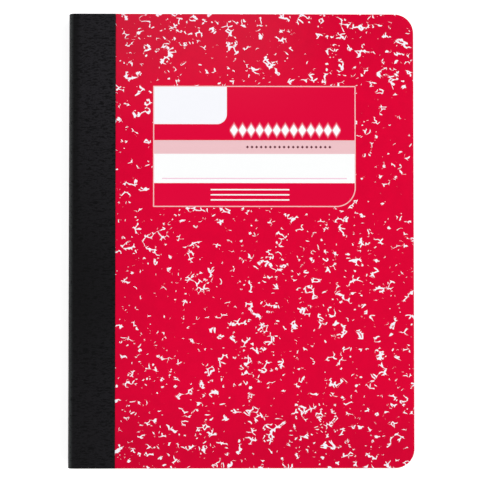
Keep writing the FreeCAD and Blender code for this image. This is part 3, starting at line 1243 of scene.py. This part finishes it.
@dataclass
class SpineTape:
    """Half of the tape: from the middle of the spine, round one fold and on to one cover."""

    side: Cover
    material: bpy.types.Material
    outline: Outline
    thickness: float = 0.2 * MM
    turn_steps: int = 14
    bow_steps: int = 14
    creases_mm: tuple[float, ...] = (0.1, 0.2, 0.3, 0.4, 0.5, 0.6, 0.7, 0.8, 1.2)

    def build(self) -> bpy.types.Object:
        """Builds the half and writes its rest place on its points.

        Returns:
            The half tape.
        """
        name = self.side.body
        sign = self.side.value
        low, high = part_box("spine_tape")
        level = high.z if self.side is Cover.FRONT else low.z
        fold = high.x
        wing_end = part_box(f"spine_tape_{name}_wing")[1].x
        piece = Bench.begin(f"tape_{name}", Vector((fold, low.y, level)), Vector((wing_end, high.y, level)))
        for ahead in self.creases_mm:
            bpy.ops.mesh.select_all(action="SELECT")
            bpy.ops.mesh.bisect(plane_co=(fold + ahead * MM, 0, level), plane_no=(1, 0, 0))
        self.round_spine(piece, low, high)
        Bench.merge()
        bpy.ops.mesh.normals_make_consistent(inside=False)
        bpy.ops.object.mode_set(mode="OBJECT")
        self.face_outwards(piece, sign)
        Bench.thicken(piece, self.thickness, offset=-1, even=True)
        Bench.smooth(piece, degrees=40)
        Bench.note_rest_place(piece)
        piece.data.materials.append(self.material)
        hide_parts("spine_tape", f"spine_tape_{name}_wing")
        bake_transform(piece)
        return piece

    def round_spine(self, piece: bpy.types.Object, low: Vector, high: Vector) -> None:
        """Spins the wing's spine-side edge round the turn, and on to the middle of the spine.

        Args:
            piece: The flat wing, in edit mode.
            low: Lowest corner of the tape on the spine.
            high: Highest corner of it.
        """
        sign = self.side.value
        turn = self.outline.turn
        bow = self.outline.bow()
        middle = (low.z + high.z) / 2
        rise = (high.z - low.z) / 2 - turn
        lean = math.asin(rise / (bow - turn))
        turn_centre = Vector((high.x, 0, middle + sign * rise))
        tip = turn_centre + turn * Vector((-math.cos(lean), 0, sign * math.sin(lean)))
        edge = turn_centre + Vector((0, 0, sign * turn))
        for start, centre, angle, steps in (
            (edge, turn_centre, math.pi / 2 - lean, self.turn_steps),
            (tip, Vector((low.x + bow, 0, middle)), lean, self.bow_steps),
        ):
            Bench.pick_line(piece, start.x, start.z)
            bpy.ops.mesh.spin(steps=steps, angle=angle, center=centre, axis=(0, sign, 0))

    @staticmethod
    def face_outwards(piece: bpy.types.Object, sign: int) -> None:
        """Flips the sheet if its flat wing faces the board.

        Args:
            piece: The sheet.
            sign: 1 for the front half of the tape, -1 for the back half.
        """
        wing = max(piece.data.polygons, key=lambda polygon: polygon.area)
        if wing.normal.z * sign < 0:
            Bench.take(piece)
            bpy.ops.object.mode_set(mode="EDIT")
            bpy.ops.mesh.select_all(action="SELECT")
            bpy.ops.mesh.flip_normals()
            bpy.ops.object.mode_set(mode="OBJECT")


@dataclass
class PageBlock:
    """Fifty sheets nested in one fold, of which the outermost shows its ruling."""

    groups: Groups
    outline: Outline
    sheets: int = 50
    paper: float = 0.074 * MM
    bow_gap: float = 0.3 * MM
    fold_corner: float = 1.8 * MM
    fold_reach: float = 20 * MM
    corner_steps: int = 10
    turn_steps: int = 7
    bow_steps: int = 10
    uneven: float = 0.05 * MM
    trim: tuple[float, float] = (-2, 0.6)
    trimmed_height: float = 250 * MM
    seed: int = 11

    def __post_init__(self) -> None:
        """Takes the block's place from the frame."""
        self.low, self.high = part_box("page_block")
        self.middle = (self.low.z + self.high.z) / 2
        self.stack = (self.high.z - self.low.z) / 2

    def build(self) -> list[bpy.types.Object]:
        """Builds the ruled outer sheet and the sheets inside it.

        Returns:
            The outer sheet and the nest.
        """
        pitch = self.stack / self.sheets
        outermost = self.stack - pitch / 2
        outer = self.fold_sheet("ruled_sheet", outermost / self.stack)
        chance = random.Random(self.seed)
        nest = []
        for number in range(1, self.sheets):
            share = (self.stack - (number + 0.5) * pitch) / outermost
            nest.append(self.nested(outer, share, chance))
        Bench.clear()
        for sheet in nest:
            sheet.select_set(True)
        bpy.context.view_layer.objects.active = nest[0]
        bpy.ops.object.join()
        inner = bpy.context.object
        inner.name = "nested_sheets"
        inner.data.name = "nested_sheets"
        ruled = RuledPaper("ruled_paper", roughness=0.75, specular=0.12).make(self.groups)
        plain = LeafEdges("leaf_edges", roughness=0.8, specular=0.1).make(self.groups)
        for piece, material in ((outer, ruled), (inner, plain)):
            Bench.thicken(piece, self.paper, offset=0)
            Bench.smooth(piece, degrees=35)
            piece.data.materials.append(material)
            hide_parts("page_block")
            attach(piece, "leaves")
        return [outer, inner]

    def fold_sheet(self, name: str, share: float) -> bpy.types.Object:
        """Folds one sheet: a leaf, three arcs and the leaf below.

        Args:
            name: Name of the sheet.
            share: Part of the block's half height that it reaches to.

        Returns:
            The open sheet, with no thickness yet.
        """
        middle, stack, turn, fore_edge = self.middle, self.stack, self.fold_corner, self.high.x
        spine_bow = self.outline.bow()
        bow = spine_bow - self.bow_gap
        bow_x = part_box("spine_tape")[0].x + spine_bow
        lean = math.asin((stack - turn) / (bow - turn))
        turn_x = bow_x - (bow - turn) * math.cos(lean)
        top = middle + stack
        piece = Bench.begin(name, Vector((turn_x, self.low.y, top)), Vector((fore_edge, self.high.y, top)))
        joint_x, joint_z = turn_x, top
        for centre_x, centre_z, angle, steps in (
            (turn_x, top - turn, math.pi / 2 - lean, self.turn_steps),
            (bow_x, middle, 2 * lean, self.bow_steps),
            (turn_x, middle - stack + turn, math.pi / 2 - lean, self.turn_steps),
        ):
            Bench.pick_line(piece, joint_x, joint_z)
            bpy.ops.mesh.spin(steps=steps, angle=angle, center=(centre_x, 0, centre_z), axis=(0, 1, 0))
            arm_x, arm_z = joint_x - centre_x, joint_z - centre_z
            joint_x = centre_x + arm_x * math.cos(angle) - arm_z * math.sin(angle)
            joint_z = centre_z + arm_x * math.sin(angle) + arm_z * math.cos(angle)
        Bench.pick_line(piece, joint_x, joint_z)
        bpy.ops.mesh.extrude_region_move(TRANSFORM_OT_translate={"value": (fore_edge - turn_x, 0, 0)})
        Bench.merge()
        Bench.pick(piece, "VERT", lambda spot: spot.x > fore_edge - NEAR)
        bpy.ops.mesh.bevel(offset=self.outline.corner, segments=self.corner_steps, affect="VERTICES")
        self.shrink(piece, share)
        Bench.outward()
        return piece

    def shrink(self, piece: bpy.types.Object, share: float) -> None:
        """Draws a sheet in edit mode towards the middle of the fold, and leaves its fore-edge where it is.

        Args:
            piece: Sheet in edit mode.
            share: Part of its height above the middle that is left.
        """
        centre = Vector((self.low.x + self.stack, 0, self.middle))
        bpy.ops.mesh.select_all(action="SELECT")
        bpy.ops.transform.resize(value=(1, 1, share), center_override=centre)
        limit = self.low.x + self.fold_reach
        Bench.pick(piece, "VERT", lambda spot: spot.x < limit)
        bpy.ops.transform.resize(value=(share, 1, 1), center_override=centre)

    def nested(self, outer: bpy.types.Object, share: float, chance: random.Random) -> bpy.types.Object:
        """Copies the outer sheet to its place further in, trimmed a hair unevenly.

        Args:
            outer: The outermost sheet.
            share: Part of its height above the middle that is left.
            chance: Seeded source of the unevenness.

        Returns:
            The copy.
        """
        Bench.take(outer)
        bpy.ops.object.duplicate()
        copy = bpy.context.object
        bpy.ops.object.mode_set(mode="EDIT")
        self.shrink(copy, share)
        length = 1 + chance.uniform(*self.trim) * self.uneven / self.trimmed_height
        bpy.ops.mesh.select_all(action="SELECT")
        bpy.ops.transform.resize(value=(1, length, 1), center_override=(0, 0, 0))
        for upper in (True, False):
            Bench.pick(copy, "VERT", lambda spot: spot.x > 0 and (spot.z > self.middle) == upper)
            bpy.ops.transform.translate(value=(chance.uniform(*self.trim) * self.uneven, 0, 0))
        bpy.ops.object.mode_set(mode="OBJECT")
        return copy


@dataclass
class Sewing:
    """Seam through the fold: the needle thread and the bobbin thread."""

    groups: Groups

    def dress(self) -> list[bpy.types.Object]:
        """Gives both threads their cotton.

        Returns:
            The two threads.
        """
        cotton = SewingThread("sewing_thread", roughness=0.8, specular=0.2, sheen=0.2).make(self.groups)
        threads = [frame["nodes"][name] for name in ("needle_thread", "bobbin_thread")]
        for thread in threads:
            thread.data.materials.clear()
            thread.data.materials.append(cotton)
        return threads


@dataclass
class Studio:
    """Pale floor, soft lamps and a camera square above the front cover."""

    groups: Groups
    floor_size: float = 2.6
    floor_level: float = -1.13 * MM
    lamp_size: float = 0.9
    lamp_away: tuple[float, float, float] = (1.1, 0.9, 1.1)
    head_power: float = 11.4
    tail_power: float = 9.5
    sky: float = 0.25
    distance: float = 0.85
    aim: tuple[float, float] = (-0.62 * MM, 0.13 * MM)
    lean: tuple[float, float] = (-0.0150, -0.0295)
    view_width: float = 261.3 * MM
    sensor: float = 36.0
    nearest: float = 10 * MM

    def build(self) -> None:
        """Sets up the floor, the lamps, the world and the camera."""
        self.floor()
        self.lamps()
        self.world()
        self.camera()

    def floor(self) -> None:
        """Adds the pale floor, low enough for the back cover to open flat."""
        Bench.clear()
        bpy.ops.mesh.primitive_plane_add(size=self.floor_size, location=(0, 0, self.floor_level))
        floor = bpy.context.object
        floor.name = "floor"
        floor.data.materials.append(PaleFloor("pale_floor", roughness=0.9, specular=0.0).make(self.groups))
        floor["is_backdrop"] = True

    def lamps(self) -> None:
        """Adds four wide lamps round the notebook, turned to its middle."""
        for number, (east, north) in enumerate(((1, 1), (-1, 1), (-1, -1), (1, -1))):
            light = bpy.data.lights.new(f"softbox_{number}", "AREA")
            light.shape = "SQUARE"
            light.size = self.lamp_size
            light.energy = self.head_power if north > 0 else self.tail_power
            lamp = bpy.data.objects.new(light.name, light)
            bpy.context.scene.collection.objects.link(lamp)
            away_x, away_y, height = self.lamp_away
            lamp.location = (east * away_x, north * away_y, height)
            lamp.rotation_euler = (-lamp.location).to_track_quat("-Z", "Y").to_euler()

    def world(self) -> None:
        """Adds a dim sky that the camera sees as white."""
        world = bpy.data.worlds.new("studio")
        bpy.context.scene.world = world
        world.use_nodes = True
        wiring = Wiring(world.node_tree)
        backdrop = world.node_tree.nodes["Background"]
        wiring.plug(backdrop.inputs["Color"], WHITE)
        path = wiring.node("LightPath")
        seen = wiring.maths("MAXIMUM", path.outputs["Is Camera Ray"], path.outputs["Is Glossy Ray"])
        wiring.plug(backdrop.inputs["Strength"], seen.at_least(self.sky))

    def camera(self) -> None:
        """Places the camera."""
        data = bpy.data.cameras.new("camera")
        data.sensor_width = self.sensor
        data.lens = self.sensor * self.distance / self.view_width
        data.clip_start = self.nearest
        eye = bpy.data.objects.new("camera", data)
        bpy.context.scene.collection.objects.link(eye)
        target = Vector((*self.aim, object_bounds()[1].z))
        eye.location = target + self.distance * Vector((*self.lean, 1))
        away = (eye.location - target).normalized()
        across = Vector((0, 1, 0)).cross(away).normalized()
        eye.rotation_euler = Matrix((across, away.cross(across), away)).transposed().to_euler()
        bpy.context.scene.camera = eye


def main() -> None:
    """Builds the notebook and its studio in order, and reports each piece."""
    logging.basicConfig(level=logging.INFO, format="%(name)s: %(message)s")
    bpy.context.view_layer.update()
    bpy.context.scene.view_settings.view_transform = "Standard"
    groups = Groups()
    outline = Outline()
    Studio(groups).build()
    for side in Cover:
        board = CoverBoard(side, groups, outline).build()
        log.info("%s: %d faces", board.name, len(board.data.polygons))
    cloth = CrinkleTape("crinkle_tape", roughness=0.42, specular=0.06).make(groups)
    for side in Cover:
        tape = SpineTape(side, cloth, outline).build()
        log.info("%s: %d faces", tape.name, len(tape.data.polygons))
    for sheet in PageBlock(groups, outline).build():
        log.info("%s: %d faces", sheet.name, len(sheet.data.polygons))
    for thread in Sewing(groups).dress():
        log.info("%s: dressed", thread.name)


if __name__ == "__main__":
    main()
